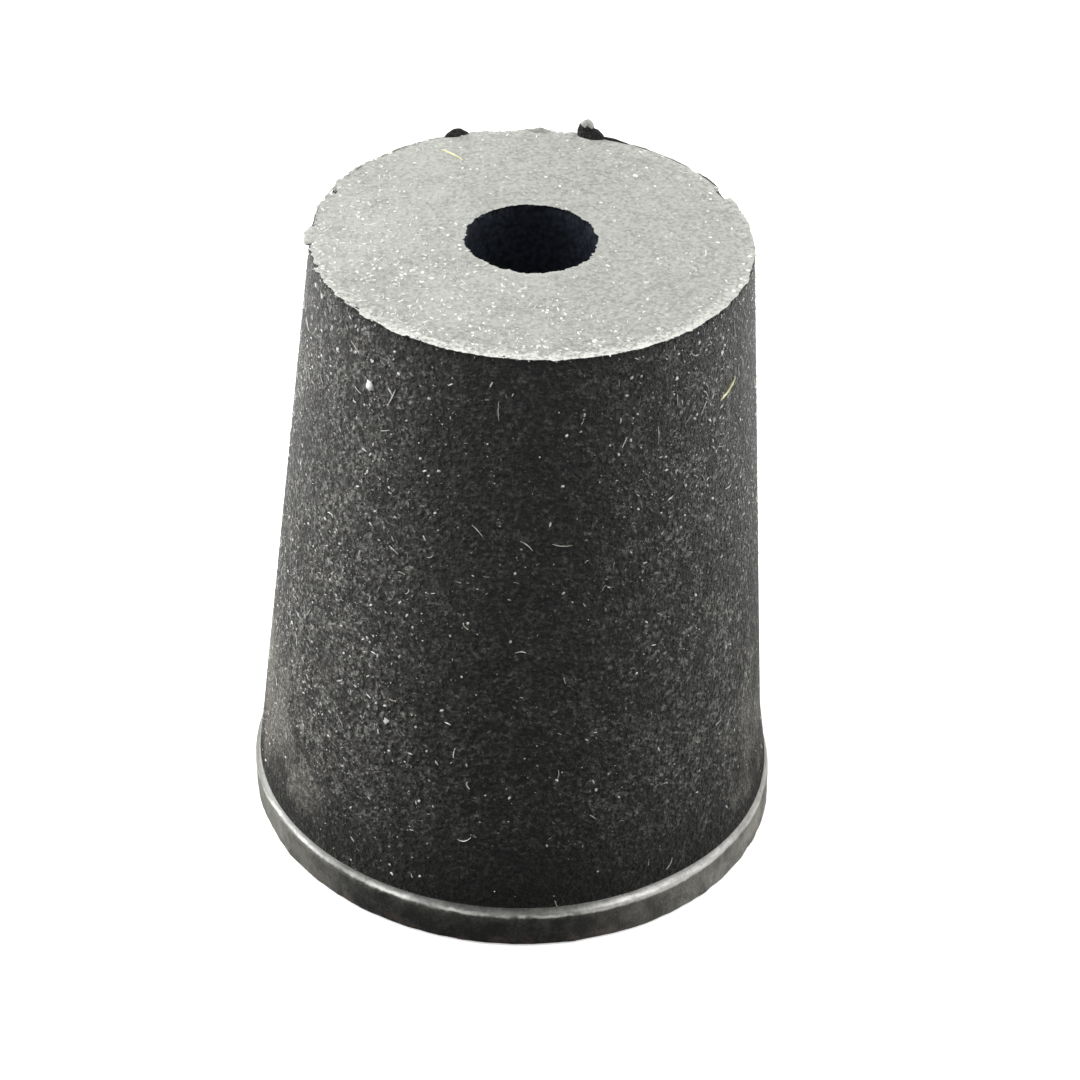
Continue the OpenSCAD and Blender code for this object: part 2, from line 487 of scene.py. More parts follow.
def loose_material(name, colours):
    """Scuffed flash, dust or lint: one pale colour that varies from place to place."""
    key, spread, scale = LOOSE_FINISHES[name]
    colour = getattr(colours, key)
    n = Finish(name, 0.9, 0.2)
    tone = n.ramp(n.noise(n.place(), scale, 1.0), 0.3, 0.7)
    n.shows("Base Color", n.mix(tone, shaded(colour, 1.0 - spread), shaded(colour, 1.0 + spread)))
    return n.material


def finish_named(name):
    """The finish of that name, made on first use."""
    scene = bpy.context.scene
    if name in bpy.data.materials:
        return bpy.data.materials[name]
    if name in BODY_FINISHES:
        return BODY_FINISHES[name](scene.stopper_sizes, scene.stopper_colours)
    return loose_material(name, scene.stopper_colours)


def graded_run(start, end, first_step, last_step):
    """Points from start towards end, which is left out, with steps that change evenly in length."""
    count = max(1, round(2 * (end - start).length / (first_step + last_step)))
    steps = [first_step + (last_step - first_step) * (i + 0.5) / count for i in range(count)]
    total = sum(steps)
    return [start.lerp(end, sum(steps[:i]) / total) for i in range(count)]


def arc(centre, radius, start_deg, end_deg, count):
    """Points on an arc, both ends included."""
    angles = [math.radians(start_deg + (end_deg - start_deg) * i / count) for i in range(count + 1)]
    return [centre + radius * Vector((math.cos(a), math.sin(a))) for a in angles]


def bend(start, middle, end, count):
    """Points on a curve from start to end that is drawn towards middle."""
    shares = [i / (count - 1) for i in range(count)]
    return [start.lerp(middle, t).lerp(middle.lerp(end, t), t) for t in shares]


def section_loop(sizes):
    """Closed half section as (radius, height) points: large end, lip, shoulder, wall, small end, hole."""
    foot, lip_r, soft = sizes.foot_round, sizes.lip_radius, sizes.shoulder_round
    crease = Vector((sizes.wall_foot_radius, sizes.lip_height))
    slope_foot = Vector((lip_r, sizes.lip_height - sizes.shoulder_height))
    slope = crease - slope_foot
    rim = Vector((sizes.small_end_radius, sizes.height))
    mouth = Vector((sizes.bore_radius, sizes.height))
    deep = Vector((sizes.bore_radius, 0.0))
    edge_head = slope_foot + slope.normalized() * min(soft, 0.8 * slope.length)
    edge = bend(slope_foot - Vector((0.0, soft)), slope_foot, edge_head, 9)
    points = graded_run(deep, Vector((lip_r - foot, 0.0)), 1.2 * MM, 0.5 * MM)
    points += arc(Vector((lip_r - foot, foot)), foot, -90.0, 0.0, 6)
    points += graded_run(points[-1], edge[0], 0.09 * MM, 0.12 * MM)[1:]
    points += edge
    points += graded_run(edge[-1], crease, 0.06 * MM, 0.06 * MM)[1:]
    points += graded_run(crease, rim, 0.12 * MM, 1.0 * MM)[:-3]
    points += graded_run(points[-1], rim, 0.5 * MM, 0.04 * MM)[1:]
    points += graded_run(rim, mouth, 0.04 * MM, 0.6 * MM)[:-2]
    points += graded_run(points[-1], mouth, 0.4 * MM, 0.06 * MM)[1:]
    points += graded_run(mouth, deep, 0.06 * MM, 1.8 * MM)
    return points


def section_mesh(sizes, path_radius):
    """The half section as a loop of edges, laid out for a sweep along a circle of that radius."""
    mesh = bpy.data.meshes.new("stopper_section")
    points = [(p.x - path_radius, -p.y, 0.0) for p in section_loop(sizes)]
    edges = [(i, (i + 1) % len(points)) for i in range(len(points))]
    mesh.from_pydata(points, edges, [])
    return mesh


def turned_group(sizes, path_radius):
    """Geometry group: turns the section about Z, lets it stray as the moulding does, and paints each face."""
    n, given, out = new_group("Turned stopper", "GeometryNodeTree", {
        "Geometry": None, "Segments": 440, "Rim raggedness": 0.0, "Mouth raggedness": 0.0,
        "Chip angle": 0.0, "Chip depth": 0.0, "Nick angle": 0.0, "Nick depth": 0.0,
        "Foot unevenness": 0.0, "Left flare": 0.0, "Right flare": 0.0}, {"Geometry": None})
    crease, rim, mouth = sizes.lip_height, sizes.small_end_radius, sizes.bore_radius
    section = n.add("GeometryNodeMeshToCurve", {0: given["Geometry"]})
    path = n.add("GeometryNodeCurvePrimitiveCircle", {"Resolution": given["Segments"], "Radius": path_radius},
                 mode="RADIUS")
    swept = n.add("GeometryNodeCurveToMesh", {0: path[0], 1: section[0]})
    turned = n.add("GeometryNodeFlipFaces", {0: swept[0]})
    where = n.add("GeometryNodeInputPosition")[0]
    x, y, z = n.axes(where)
    radius = n.reach(x, y)
    outer = n.ramp(radius, 0.5 * rim, 0.9 * rim)

    below_rim = n.minus(z, sizes.height)
    gap = n.reach(n.minus(radius, rim), below_rim)
    at_rim = n.ramp(gap, 0.02 * MM, 0.18 * MM, 1.0, 0.0)
    near_rim = n.ramp(gap, 0.05 * MM, 0.3 * MM, 1.0, 0.0)
    jag = n.swing(n.noise(where, 1900.0, 4.0, 0.72))
    chew = n.times(n.swing(n.noise(where, 620.0)), 0.3)
    torn_side = n.ramp(x, 0.0, -0.8 * rim, 0.8, 1.3)
    stray = n.times(n.plus(jag, chew), torn_side, given["Rim raggedness"])
    bearing = n.maths("ARCTAN2", y, x)
    notches = 0.0
    for name, half_width in (("Chip", math.radians(3.4)), ("Nick", math.radians(1.6))):
        off = n.maths("ABSOLUTE", n.minus(bearing, given[name + " angle"]))
        bite = n.ramp(off, 0.35 * half_width, half_width, 1.0, 0.0)
        notches = n.plus(notches, n.times(bite, given[name + " depth"]))
    rim_move = n.minus(n.times(stray, at_rim), n.times(notches, near_rim))

    mouth_gap = n.reach(n.minus(radius, mouth), below_rim)
    at_mouth = n.ramp(mouth_gap, 0.02 * MM, 0.3 * MM, 1.0, 0.0)
    torn = n.swing(n.noise(where, 2900.0, 4.0, 0.65))
    mouth_move = n.times(torn, at_mouth, given["Mouth raggedness"])

    low = n.ramp(z, 0.0, crease, 1.0, 0.0)
    wave = n.swing(n.noise(where, 1000.0, 3.0, 0.55))
    shifted = n.over(n.times(x, n.minus(radius, y)), n.times(radius, n.times(radius, 2.6)))
    foot_move = n.times(n.plus(wave, shifted), low, given["Foot unevenness"])

    to_left = n.most(n.over(n.times(x, -1.0), radius), 0.0)
    bell = n.ramp(z, crease, sizes.height, 1.0, -0.7, "LINEAR")
    to_right = n.ramp(n.over(x, radius), 0.55, 0.98)
    swell = n.ramp(z, crease, crease + 2.8 * MM, 1.0, 0.0)
    on_wall = n.times(n.ramp(z, crease - sizes.shoulder_height, crease), outer)
    belled = n.times(n.times(to_left, to_left), bell, on_wall)
    swollen = n.times(to_right, swell, on_wall)
    flare_move = n.plus(n.times(belled, given["Left flare"]), n.times(swollen, given["Right flare"]))

    move = n.plus(rim_move, n.times(foot_move, outer), flare_move, mouth_move)
    scale = n.over(move, radius)
    dip = n.times(n.maths("MINIMUM", rim_move, 0.0), 0.6)
    offset = n.add("ShaderNodeCombineXYZ", {0: n.times(x, scale), 1: n.times(y, scale), 2: dip})
    moved = n.add("GeometryNodeSetPosition", {"Geometry": turned[0], "Offset": offset[0]})
    flow = n.add("GeometryNodeSetShadeSmooth", {"Geometry": moved[0]})[0]

    facing_up = n.axes(n.add("GeometryNodeInputNormal")[0])[2]
    high = n.maths("GREATER_THAN", z, sizes.height - 0.075 * MM)
    is_ground = n.times(high, n.maths("GREATER_THAN", facing_up, 0.7))
    is_lip = n.maths("LESS_THAN", z, crease)
    is_bore = n.times(n.maths("LESS_THAN", radius, mouth + 0.05 * MM), n.minus(1.0, is_ground))
    for selection, name in ((True, "moulded_wall"), (is_lip, "satin_lip"),
                            (is_ground, "ground_end"), (is_bore, "hole_wall")):
        flow = n.add("GeometryNodeSetMaterial", {
            "Geometry": flow, "Selection": selection, "Material": finish_named(name)})[0]
    n.feed(out["Geometry"], n.add("GeometryNodeRealizeInstances", {0: flow})[0])
    return n.tree


def grown_mesh(base_mesh, name, tree, values):
    """Runs a geometry group on a mesh, with inputs set by name, and gives the result as a plain mesh."""
    carrier = bpy.data.objects.new(name + "_carrier", base_mesh)
    bpy.context.scene.collection.objects.link(carrier)
    modifier = carrier.modifiers.new("Growth", "NODES")
    modifier.node_group = tree
    for item in tree.interface.items_tree:
        if item.item_type == "SOCKET" and item.in_out == "INPUT" and item.name in values:
            modifier[item.identifier] = values[item.name]
    graph = bpy.context.evaluated_depsgraph_get()
    grown = bpy.data.meshes.new_from_object(carrier.evaluated_get(graph), depsgraph=graph)
    grown.name = name
    carrier.modifiers.remove(modifier)
    bpy.data.objects.remove(carrier)
    if not grown.polygons:
        raise RuntimeError(f"{name} came out empty")
    return grown


def mend_mesh(mesh, sharp_deg=35.0):
    """Merges doubles, turns faces outwards and marks sharp edges."""
    shape = bmesh.new()
    shape.from_mesh(mesh)
    bmesh.ops.remove_doubles(shape, verts=shape.verts, dist=1e-7)
    bmesh.ops.recalc_face_normals(shape, faces=shape.faces)
    shape.to_mesh(mesh)
    shape.free()
    mesh.set_sharp_from_angle(angle=math.radians(sharp_deg))


def show_piece(name, mesh):
    """Puts a finished mesh in the scene as a piece that rides on the part's one body."""
    piece = bpy.data.objects.new(name, mesh)
    bpy.context.scene.collection.objects.link(piece)
    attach(piece, "root")
    return piece


def show_shape(name, shape, finishes):
    """Turns a shape's faces outwards and shows it as a piece with those finishes."""
    bmesh.ops.recalc_face_normals(shape, faces=shape.faces)
    mesh = bpy.data.meshes.new(name)
    shape.to_mesh(mesh)
    shape.free()
    for finish in finishes:
        mesh.materials.append(finish_named(finish))
    show_piece(name, mesh)


class STOPPER_OT_body(bpy.types.Operator):
    """Turns the moulded body from its half section"""

    bl_idname = "stopper.body"
    bl_label = "Moulded body"

    def execute(self, context):
        sizes, wear = context.scene.stopper_sizes, context.scene.stopper_wear
        path_radius = sizes.lip_radius
        tree = turned_group(sizes, path_radius)
        mesh = grown_mesh(section_mesh(sizes, path_radius), "stopper_body", tree, {
            "Segments": sizes.segments,
            "Rim raggedness": wear.rim_raggedness,
            "Mouth raggedness": wear.mouth_raggedness,
            "Chip angle": wear.chip_angle, "Chip depth": wear.chip_depth,
            "Nick angle": wear.nick_angle, "Nick depth": wear.nick_depth,
            "Foot unevenness": wear.foot_unevenness,
            "Left flare": wear.left_flare, "Right flare": wear.right_flare,
        })
        mend_mesh(mesh)
        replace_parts(show_piece("stopper_body", mesh), NODE)
        return {"FINISHED"}


def outward(angle_deg):
    """Level direction away from the axis at an angle."""
    angle = math.radians(angle_deg)
    return Vector((math.cos(angle), math.sin(angle), 0.0))


def wall_place(sizes, angle_deg, height, lift=0.0):
    """Point on the wall at an angle and height, lifted off it by a little."""
    share = (height - sizes.lip_height) / (sizes.height - sizes.lip_height)
    radius = sizes.wall_foot_radius + (sizes.small_end_radius - sizes.wall_foot_radius) * share + lift
    return outward(angle_deg) * radius + UP * height


def rim_place(sizes, angle_deg):
    """Point on the small rim, and the direction out from there."""
    out = outward(angle_deg)
    drawn_in = 0.7 * bpy.context.scene.stopper_wear.left_flare * max(0.0, -out.x) ** 2
    return out * (sizes.small_end_radius - drawn_in) + UP * sizes.height, out


def rim_spine(sizes, angle_deg, length, count, inset, drop=0.0):
    """Points along the rim about an angle, drawn in from it and down."""
    spine = []
    for i in range(count):
        along = (i / (count - 1) - 0.5) * length
        point, out = rim_place(sizes, angle_deg + math.degrees(along / sizes.small_end_radius))
        spine.append(point - out * inset - UP * drop)
    return spine


def loft(shape, rings):
    """Joins rings of points into a closed skin with fan caps."""
    rows = [[shape.verts.new(p) for p in ring] for ring in rings]
    count = len(rows[0])
    for a, b in zip(rows, rows[1:]):
        for i in range(count):
            shape.faces.new((a[i], a[(i + 1) % count], b[(i + 1) % count], b[i]))
    for row in (rows[0][::-1], rows[-1]):
        middle = shape.verts.new(sum((v.co for v in row), Vector()) / count)
        for i in range(count):
            shape.faces.new((row[i], row[(i + 1) % count], middle))


def torn_strip(shape, spine, across, widths, depths, roughness, sides=14):
    """A scrap of flash or a thread: oval rings along a spine, with torn unevenness."""
    rings = []
    for i, centre in enumerate(spine):
        ahead = (spine[min(i + 1, len(spine) - 1)] - spine[max(i - 1, 0)]).normalized()
        side = (across - ahead * across.dot(ahead)).normalized()
        deep = ahead.cross(side)
        ring = []
        for k in range(sides):
            turn = 2.0 * math.pi * k / sides
            point = centre + side * math.cos(turn) * widths[i] + deep * math.sin(turn) * depths[i]
            ring.append(point + noise.noise_vector(point * 5200.0) * roughness)
        rings.append(ring)
    loft(shape, rings)


def eased(count, start, peak, end, where=0.5):
    """Sizes along a strip that rise from start to peak and fall to end."""
    sizes = []
    for i in range(count):
        t = i / (count - 1)
        share = t / where if t < where else (1.0 - t) / (1.0 - where)
        low = start if t < where else end
        sizes.append(low + (peak - low) * math.sin(0.5 * math.pi * min(1.0, share)))
    return sizes


# Finish, place in degrees, then length, height, depth and inset in millimetres
RIM_RIDGES = {
    "flash_ridge": ("moulded_wall", 112.0, 0.95, 0.27, 0.17, 0.06),
    "flash_bump": ("scuffed_flash", 89.0, 0.85, 0.13, 0.15, 0.10),
    "flash_tail": ("moulded_wall", 69.5, 1.7, 0.07, 0.09, 0.04),
}
# Finish, then both ends in degrees
RIM_LINES = {
    "flash_line": ("scuffed_flash", 82.0, 174.0),
    "flash_line_right": ("moulded_wall", 30.0, 80.0),
}
FLAP_DEG = 76.0
# Along the rim, up, half width and half depth of each ring, in millimetres
FLAP_RINGS = (
    (-0.16, -0.25, 0.60, 0.26), (-0.14, -0.02, 0.57, 0.25), (-0.06, 0.14, 0.46, 0.21),
    (0.0, 0.28, 0.37, 0.18), (-0.03, 0.40, 0.33, 0.17), (-0.09, 0.49, 0.29, 0.16),
    (-0.16, 0.55, 0.22, 0.12), (-0.22, 0.575, 0.12, 0.06),
)
TAB_DEG = 182.0


class STOPPER_OT_flash(bpy.types.Operator):
    """Adds the torn scraps of flash on the small rim"""

    bl_idname = "stopper.flash"
    bl_label = "Torn flash"

    def ridge(self, shape, sizes, angle_deg, length, height, depth, inset):
        """Low scrap that lies along the rim."""
        count = 11
        spine = rim_spine(sizes, angle_deg, length * MM, count, inset * MM)
        heights = eased(count, 0.12 * height * MM, height * MM, 0.12 * height * MM)
        depths = eased(count, 0.2 * depth * MM, depth * MM, 0.2 * depth * MM)
        torn_strip(shape, spine, UP, heights, depths, 0.03 * MM)

    def line(self, shape, sizes, start_deg, end_deg):
        """Hair-thin burr that the grinding left along the back of the rim."""
        count = 150
        spine, heights = [], []
        for i in range(count):
            point, out = rim_place(sizes, start_deg + (end_deg - start_deg) * i / (count - 1))
            spine.append(point - out * 0.03 * MM)
            heights.append((0.005 + 0.06 * max(0.0, noise.noise(spine[-1] * 1100.0))) * MM)
        torn_strip(shape, spine, UP, heights, heights, 0.02 * MM, sides=6)

    def flap(self, shape, sizes):
        """Scrap that stands up, leans over clockwise and ends in a pale torn tip."""
        root, out = rim_place(sizes, FLAP_DEG)
        along = UP.cross(out)
        spine = [root - out * 0.10 * MM + along * a * MM + UP * u * MM for a, u, _, _ in FLAP_RINGS]
        widths = [width * MM for _, _, width, _ in FLAP_RINGS]
        depths = [depth * MM for _, _, _, depth in FLAP_RINGS]
        torn_strip(shape, spine, along, widths, depths, 0.03 * MM)
        for face in shape.faces:
            face.material_index = int(face.calc_center_median().z > sizes.height + 0.45 * MM)

    def tab(self, shape, sizes):
        """Flat scrap level with the ground face that reaches out past the rim."""
        count = 9
        spine = rim_spine(sizes, TAB_DEG, 1.2 * MM, count, 0.06 * MM, 0.075 * MM)
        widths = eased(count, 0.14 * MM, 0.30 * MM, 0.24 * MM, 0.7)
        torn_strip(shape, spine, outward(TAB_DEG), widths, [0.07 * MM] * count, 0.07 * MM)
        for face in shape.faces:
            face.material_index = int(face.calc_center_median().z < sizes.height - 0.085 * MM)

    def scrap(self, name, finishes, make, *values):
        """Makes one scrap and shows it with a smooth skin."""
        shape = bmesh.new()
        make(shape, bpy.context.scene.stopper_sizes, *values)
        for face in shape.faces:
            face.smooth = True
        show_shape(name, shape, finishes)

    def execute(self, context):
        noise.seed_set(context.scene.stopper_wear.seed)
        for name, (finish, *values) in RIM_RIDGES.items():
            self.scrap(name, (finish,), self.ridge, *values)
        for name, (finish, *values) in RIM_LINES.items():
            self.scrap(name, (finish,), self.line, *values)
        self.scrap("flash_flap", ("moulded_wall", "ground_end"), self.flap)
        self.scrap("flash_tab", ("ground_end", "moulded_wall"), self.tab)
        return {"FINISHED"}


def scatter_group(name, sizes, shapes, finish, on_finish):
    """Geometry group: scatters shapes over one finish, thickest left, high right and in front on top."""
    n, given, out = new_group(name, "GeometryNodeTree", {
        "Geometry": None, "Density": 1.0, "Evenness": 0.2, "Least": 0.5, "Most": 1.5, "Seed": 0},
        {"Geometry": None})
    crease, top = sizes.lip_height, sizes.height
    where = n.add("GeometryNodeInputPosition")[0]
    x, y, z = n.axes(where)
    left = n.ramp(x, -1.0 * MM, -0.8 * sizes.lip_radius)
    right = n.times(n.ramp(x, 2.0 * MM, 0.7 * sizes.lip_radius), n.ramp(z, 0.35 * top, 0.85 * top))
    ahead = n.front_left(x, y, sizes.small_end_radius)
    on_top = n.maths("GREATER_THAN", z, top - 0.1 * MM)
    dusty = n.ramp(on_top, 0.0, 1.0, n.most(left, right), ahead, "LINEAR")
    share = n.ramp(dusty, 0.0, 1.0, given["Evenness"], 1.0, "LINEAR")
    clumps = n.ramp(n.noise(where, 260.0), 0.35, 0.7, 0.35, 1.0)
    swept = n.ramp(z, crease, crease + 7.0 * MM, 0.12, 1.0)
    chosen = n.add("GeometryNodeMaterialSelection", {0: on_finish})
    points = n.add("GeometryNodeDistributePointsOnFaces", {
        "Mesh": given["Geometry"], "Selection": chosen[0], "Seed": given["Seed"],
        "Density": n.times(n.times(share, clumps), n.times(swept, given["Density"]))})
    spin = n.add("FunctionNodeRandomValue", {2: 0.0, 3: 2.0 * math.pi, "Seed": 3}, data_type="FLOAT")
    about = n.add("FunctionNodeAxisAngleToRotation", {"Axis": UP, "Angle": spin[1]})
    turn = n.add("FunctionNodeRotateRotation", {0: points["Rotation"], 1: about[0]}, rotation_space="LOCAL")
    chance = n.add("FunctionNodeRandomValue", {2: 0.0, 3: 1.0, "Seed": 5}, data_type="FLOAT")
    size = n.ramp(n.maths("POWER", chance[1], 3.0), 0.0, 1.0, given["Least"], given["Most"], "LINEAR")
    pool = n.tree.nodes.new("GeometryNodeGeometryToInstance")
    for shape in shapes(n):
        n.feed(pool.inputs[0], shape)
    laid = n.add("GeometryNodeInstanceOnPoints", {
        "Points": points["Points"], "Instance": pool.outputs[0], "Pick Instance": True,
        "Rotation": turn[0], "Scale": size})
    whole = n.add("GeometryNodeRealizeInstances", {0: laid[0]})
    painted = n.add("GeometryNodeSetMaterial", {"Geometry": whole[0], "Material": finish})
    n.feed(out["Geometry"], painted[0])
    return n.tree


def speck_shapes(n):
    """Flat grains of dust: two round ones and two long ones."""
    for stretch in ((1.0, 0.75, 0.45), (0.7, 1.1, 0.4), (1.4, 0.5, 0.4), (1.8, 0.42, 0.35)):
        ball = n.add("GeometryNodeMeshIcoSphere", {"Radius": 0.045 * MM, "Subdivisions": 1})
        yield n.add("GeometryNodeTransform", {0: ball[0], "Scale": stretch})[0]


def grain_shapes(n):
    """One four-sided point, for grains too fine to show a shape."""
    sizes = {"Vertices": 4, "Radius Bottom": 0.03 * MM, "Depth": 0.03 * MM}
    yield n.add("GeometryNodeMeshCone", sizes, fill_type="NONE")[0]


def fibre_shapes(n):
    """Four short threads that lie flat: two bends, a hook and a nearly straight one."""
    lift = 0.012
    for places in (
        ((-0.20, 0.0), (0.04, 0.06), (0.22, -0.02)),
        ((-0.24, -0.02), (0.0, 0.01), (0.24, 0.02)),
        ((-0.13, 0.03), (0.08, 0.06), (0.14, -0.06)),
        ((-0.28, 0.02), (-0.04, -0.04), (0.26, 0.03)),
    ):
        bends = {i + 1: (a * MM, b * MM, lift * MM) for i, (a, b) in enumerate(places)}
        path = n.add("GeometryNodeCurveQuadraticBezier", {"Resolution": 6} | bends)
        girth = n.add("GeometryNodeCurvePrimitiveCircle", {"Resolution": 4, "Radius": 0.019 * MM},
                      mode="RADIUS")
        yield n.add("GeometryNodeCurveToMesh", {0: path[0], 1: girth[0], "Fill Caps": True})[0]


def scatter_piece(name, shapes, finish, on_finish, count, evenness, least, most, seed):
    """Scatters shapes on one finish of the body, count for each square centimetre, as one piece."""
    body = bpy.data.objects["stopper_body"]
    tree = scatter_group(name.replace("_", " "), bpy.context.scene.stopper_sizes, shapes,
                         finish_named(finish), finish_named(on_finish))
    show_piece(name, grown_mesh(body.data.copy(), name, tree, {
        "Density": count * PER_CM2, "Evenness": evenness, "Least": least, "Most": most, "Seed": seed}))


class STOPPER_OT_dust(bpy.types.Operator):
    """Scatters specks of dust over the wall and the small end"""

    bl_idname = "stopper.dust"
    bl_label = "Dust specks"

    def execute(self, context):
        wear = context.scene.stopper_wear
        scatter_piece("wall_dust", speck_shapes, "dust_specks", "moulded_wall",
                      wear.speck_count, 0.12, 0.4, 1.9, wear.seed)
        scatter_piece("wall_grains", grain_shapes, "fine_grains", "moulded_wall",
                      wear.grain_count, 0.12, 0.5, 1.3, wear.seed + 3)
        scatter_piece("end_dust", speck_shapes, "white_specks", "ground_end",
                      2.0 * wear.speck_count, 0.30, 0.35, 1.9, wear.seed + 1)
        scatter_piece("end_lint", fibre_shapes, "white_specks", "ground_end",
                      2.2 * wear.lint_count, 0.2, 0.3, 0.8, wear.seed + 4)
        return {"FINISHED"}


class STOPPER_OT_lint(bpy.types.Operator):
    """Scatters short threads of lint over the wall"""

    bl_idname = "stopper.lint"
    bl_label = "Lint"

    def execute(self, context):
        wear = context.scene.stopper_wear
        scatter_piece("wall_lint", fibre_shapes, "pale_lint", "moulded_wall",
                      wear.lint_count, 0.25, 0.3, 1.15, wear.seed + 2)
        return {"FINISHED"}


PALE, STRAW, DUST, CHALK = MARK_FINISHES = ("pale_lint", "straw_lint", "dust_specks", "white_specks")
# Finish, radius in millimetres, then three places as degrees and height in millimetres
WALL_THREADS = {
    "right straw": (STRAW, 0.044, (-34.0, 21.43), (-30.3, 21.46), (-26.3, 21.78)),
    "upper left thread": (PALE, 0.020, (-139.3, 23.76), (-137.6, 23.64), (-135.6, 23.42)),
    "forked thread": (PALE, 0.024, (-125.2, 22.10), (-124.0, 22.46), (-123.4, 22.80)),
    "fork branch": (PALE, 0.020, (-124.0, 22.46), (-124.9, 22.66), (-125.6, 22.74)),
    "front hair": (PALE, 0.015, (-96.4, 23.32), (-96.6, 22.95), (-96.2, 22.54)),
    "right hair": (PALE, 0.017, (-55.9, 21.70), (-55.4, 21.35), (-55.8, 20.97)),
    "right short hair": (PALE, 0.018, (-50.1, 22.70), (-49.8, 22.45), (-50.1, 22.18)),
    "right edge hair": (PALE, 0.018, (-26.7, 24.08), (-26.2, 23.70), (-26.8, 23.35)),
    "right curl": (PALE, 0.020, (-45.8, 24.18), (-44.6, 23.82), (-42.6, 23.87)),
    "middle thread": (PALE, 0.018, (-101.5, 18.24), (-100.3, 18.13), (-98.7, 17.82)),
    "middle thread 2": (PALE, 0.020, (-90.0, 17.78), (-88.2, 17.66), (-86.9, 17.38)),
    "middle thread 3": (PALE, 0.017, (-82.5, 17.66), (-80.0, 17.48), (-77.7, 17.56)),
    "lower thread": (PALE, 0.018, (-90.2, 13.08), (-88.9, 13.20), (-87.6, 13.10)),
    "low arc": (PALE, 0.020, (-101.4, 4.62), (-99.8, 4.42), (-98.3, 4.78)),
    "low right thread": (PALE, 0.020, (-71.9, 5.71), (-71.2, 5.62), (-70.4, 5.47)),
    "low right hook": (PALE, 0.018, (-50.8, 2.50), (-50.9, 2.20), (-52.5, 2.05)),
}
# The same on the small end, with places as x and y in millimetres
TOP_STRAW = (STRAW, 0.034, (-3.53, 6.19), (-3.05, 5.92), (-2.71, 5.50))
# Degrees, height and radius in millimetres
WALL_FLAKES = {
    "left flake": (-131.4, 22.45, 0.17), "rim flake": (-154.7, 24.37, 0.10),
    "left low flake": (-144.3, 22.99, 0.09), "left small flake": (-131.3, 23.46, 0.07),
    "right flake": (-33.0, 23.28, 0.09), "low left flake": (-120.0, 8.97, 0.13),
    "low speck": (-110.6, 5.94, 0.07), "crease speck": (-116.9, 2.60, 0.08),
    "crease bit": (-130.5, 2.65, 0.07), "crease bit 2": (-109.4, 2.50, 0.07),
    "low right speck": (-46.3, 2.50, 0.06),
}
# Degrees, distance from the axis and radius in millimetres
RIM_CRUMBS = {
    "rim crumb 1": (-5.0, 7.86, 0.08), "rim crumb 2": (-9.0, 7.70, 0.06),
    "rim crumb 3": (-12.0, 7.92, 0.09), "rim crumb 4": (-16.5, 7.80, 0.07),
    "rim crumb 5": (-20.0, 7.93, 0.10), "rim crumb 6": (-23.0, 7.82, 0.07),
    "front crumb": (-71.0, 7.1, 0.10), "front crumb 2": (-52.0, 7.35, 0.09),
    "top flake": (-139.0, 4.6, 0.09), "top flake 2": (52.0, 6.1, 0.10),
}


class STOPPER_OT_marks(bpy.types.Operator):
    """Lays the largest threads and flakes where they lie on the stopper"""

    bl_idname = "stopper.marks"
    bl_label = "Large lint and flakes"

    def thread(self, shape, finish, radius, points):
        """A thread bent through three points, thinner at its ends."""
        count = 10
        girth = eased(count, 0.4 * radius, radius, 0.4 * radius)
        before = len(shape.faces)
        askew = Vector((0.31, 0.17, 0.93))
        torn_strip(shape, bend(*points, count), askew, girth, girth, 0.3 * radius, sides=6)
        shape.faces.ensure_lookup_table()
        for face in shape.faces[before:]:
            face.material_index = MARK_FINISHES.index(finish)

    def flake(self, shape, finish, radius, centre, normal):
        """An uneven crumb that lies flat."""
        made = bmesh.ops.create_icosphere(shape, subdivisions=2, radius=radius)
        for vert in made["verts"]:
            uneven = 1.0 + 0.8 * noise.noise(vert.co / radius * 1.4 + centre * 900.0)
            away = vert.co * uneven
            vert.co = centre + away - normal * away.dot(normal) * 0.6
        for face in {f for v in made["verts"] for f in v.link_faces}:
            face.material_index = MARK_FINISHES.index(finish)

    def execute(self, context):
        noise.seed_set(context.scene.stopper_wear.seed)
        sizes = context.scene.stopper_sizes
        shape = bmesh.new()
        for finish, radius, *places in WALL_THREADS.values():
            points = [wall_place(sizes, angle, height * MM, 0.6 * radius * MM) for angle, height in places]
            self.thread(shape, finish, radius * MM, points)
        finish, radius, *places = TOP_STRAW
        points = [Vector((x * MM, y * MM, sizes.height + 0.6 * radius * MM)) for x, y in places]
        self.thread(shape, finish, radius * MM, points)
        for angle, height, radius in WALL_FLAKES.values():
            centre = wall_place(sizes, angle, height * MM)
            self.flake(shape, DUST, radius * MM, centre, outward(angle))
        for angle, away, radius in RIM_CRUMBS.values():
            centre = outward(angle) * away * MM + UP * sizes.height
            self.flake(shape, CHALK, radius * MM, centre, UP)
        show_shape("large_marks", shape, MARK_FINISHES)
        return {"FINISHED"}


LAMP_AIM = Vector((0.0, 0.0, 0.012))
# Place, direction of the long side, length and width in metres, and power in watts
LAMPS = {
    "overhead": ((0.0, 0.06, 0.36), (1.0, 0.0, 0.0), (0.24, 0.20), 0.06),
    "left": ((-0.2226, -0.0337, 0.2638), (0.34, -0.845, 0.48), (0.32, 0.12), 0.92),
    "right": ((0.2226, -0.0337, 0.2638), (-0.34, -0.845, 0.48), (0.32, 0.12), 0.72),
    "left_panel": ((-0.22, 0.12, 0.066), (0.0, 1.0, 0.0), (0.34, 0.12), 0.88),
    "right_panel": ((0.22, 0.12, 0.066), (0.0, 1.0, 0.0), (0.34, 0.12), 0.55),
}
